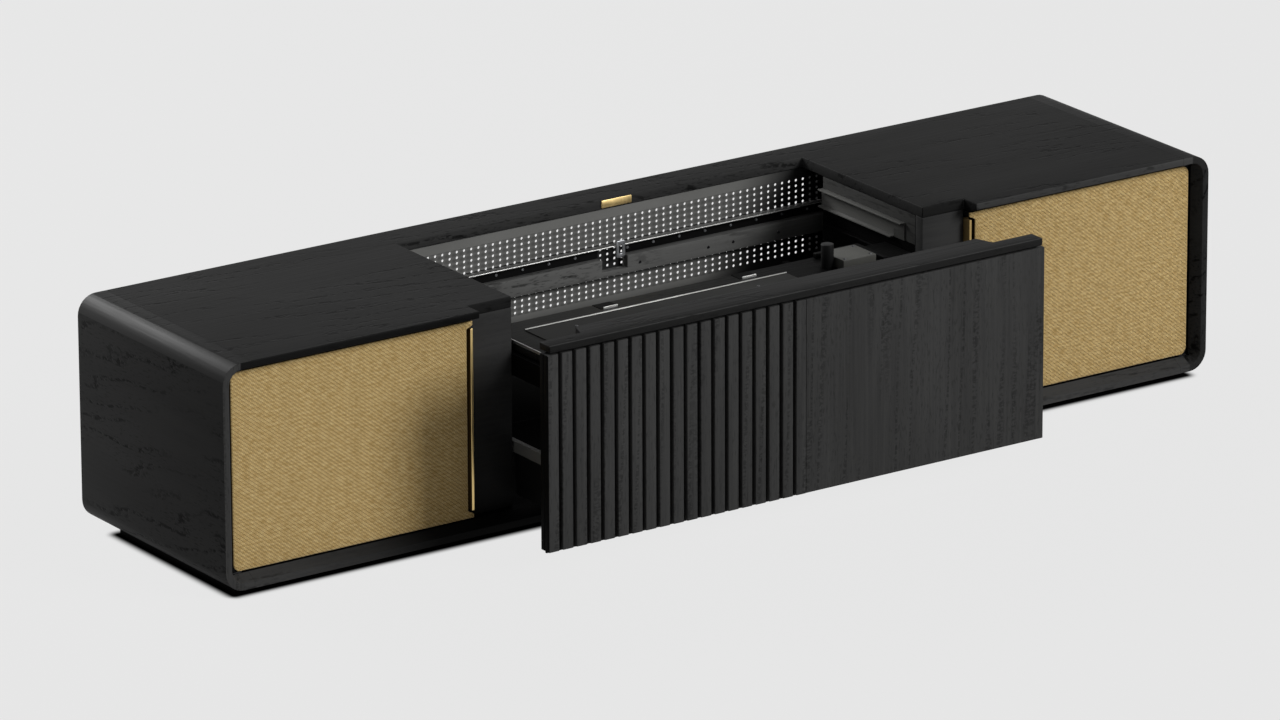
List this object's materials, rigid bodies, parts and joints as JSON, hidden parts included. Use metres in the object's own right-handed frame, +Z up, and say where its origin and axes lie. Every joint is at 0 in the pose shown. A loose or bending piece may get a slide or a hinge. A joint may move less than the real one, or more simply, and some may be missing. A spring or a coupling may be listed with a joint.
{
  "type": "motorized projector cabinet",
  "caption": "Long low media cabinet with rounded ends and cloth doors, whose slatted middle front slides out on a motor with a projector tray under an open well.",
  "frame": {"origin": "on the floor, under the middle rail of the plinth, 235 mm in front of the cabinet's back", "axes": "+X to the right seen from the front, -Y to the front, +Z up"},
  "size_m": [2.2, 0.707, 0.442],
  "materials": {
    "black_oak": "black stained open-pore oak veneer, satin",
    "black_board": "black faced board, matt",
    "grey_steel": "grey powder coat, satin",
    "black_steel": "black coated steel, satin",
    "zinc_steel": "zinc plated",
    "aluminium": "mill finish",
    "brass": "satin",
    "gold_cloth": "woven acoustic cloth",
    "black_plastic": "matt",
    "grey_plastic": "matt"
  },
  "bodies": {
    "cabinet": {"top_panel": "black_oak", "bottom_panel": "black_oak", "left_side_panel": "black_oak", "right_side_panel": "black_oak", "left_front_stile": "black_oak", "right_front_stile": "black_oak", "left_partition": "black_oak", "right_partition": "black_oak", "left_rear_cheek": "black_board", "right_rear_cheek": "black_board", "left_back_panel": "black_board", "right_back_panel": "black_board", "power_inlet": "black_plastic", "plinth_base": "black_board", "vent_plate": "grey_steel", "vent_batten": "black_oak", "vent_angle": "aluminium", "cable_clip": "grey_steel", "badge_plate": "brass", "left_guide_rail": "grey_steel", "right_guide_rail": "grey_steel", "left_top_pivot_plate": "zinc_steel", "right_top_pivot_plate": "zinc_steel", "left_bottom_pivot_plate": "zinc_steel", "right_bottom_pivot_plate": "zinc_steel", "left_slide_outer": "black_steel", "right_slide_outer": "black_steel", "left_arm_channel": "zinc_steel", "right_arm_channel": "zinc_steel", "drive_rack": "black_plastic", "front_rack_bracket": "zinc_steel", "back_rack_bracket": "zinc_steel", "control_box": "black_plastic"},
    "drawer": {"drawer_front_board": "black_board", "slatted_face": "black_oak", "plain_face": "black_oak", "front_cap_rail": "black_oak", "projector_tray": "black_oak", "left_tray_rail": "black_board", "right_tray_rail": "black_board", "projector_platform": "grey_steel", "left_slide_inner": "black_steel", "right_slide_inner": "black_steel", "left_lower_arm": "zinc_steel", "right_lower_arm": "zinc_steel", "lower_cross_bar": "aluminium", "drive_gearbox": "grey_plastic", "drive_motor": "black_plastic", "drive_guard": "black_steel"},
    "left_middle_slide": {"left_slide_middle": "black_steel"},
    "right_middle_slide": {"right_slide_middle": "black_steel"},
    "pinion": {"drive_pinion": "black_plastic"},
    "left_door": {"left_door_frame": "black_board", "left_door_cloth": "gold_cloth", "left_door_pull": "brass"},
    "right_door": {"right_door_frame": "black_board", "right_door_cloth": "gold_cloth", "right_door_pull": "brass"}
  },
  "joints": [
    {"name": "drawer_slide", "type": "slide", "parent": "cabinet", "child": "drawer", "axis": [0, -1, 0], "range_m": [-0.215, 0]},
    {"name": "left_middle_travel", "type": "slide", "parent": "cabinet", "child": "left_middle_slide", "axis": [0, -1, 0], "range_m": [-0.1075, 0]},
    {"name": "right_middle_travel", "type": "slide", "parent": "cabinet", "child": "right_middle_slide", "axis": [0, -1, 0], "range_m": [-0.1075, 0]},
    {"name": "pinion_spin", "type": "hinge", "parent": "drawer", "child": "pinion", "pos_m": [0.332, -0.1843, 0.277], "axis": [0, 0, 1], "range_deg": [-616.2, 0]},
    {"name": "left_door_hinge", "type": "hinge", "parent": "cabinet", "child": "left_door", "pos_m": [-1.062, -0.227, 0.23], "axis": [0, 0, -1], "range_deg": [0, 95]},
    {"name": "right_door_hinge", "type": "hinge", "parent": "cabinet", "child": "right_door", "pos_m": [1.062, -0.227, 0.23], "axis": [0, 0, 1], "range_deg": [0, 95]}
  ],
  "couplings": [
    {"joint": "left_middle_travel", "follows": "drawer_slide", "ratio": 0.5},
    {"joint": "right_middle_travel", "follows": "drawer_slide", "ratio": 0.5},
    {"joint": "pinion_spin", "follows": "drawer_slide", "rad_per_m": 50}
  ]
}
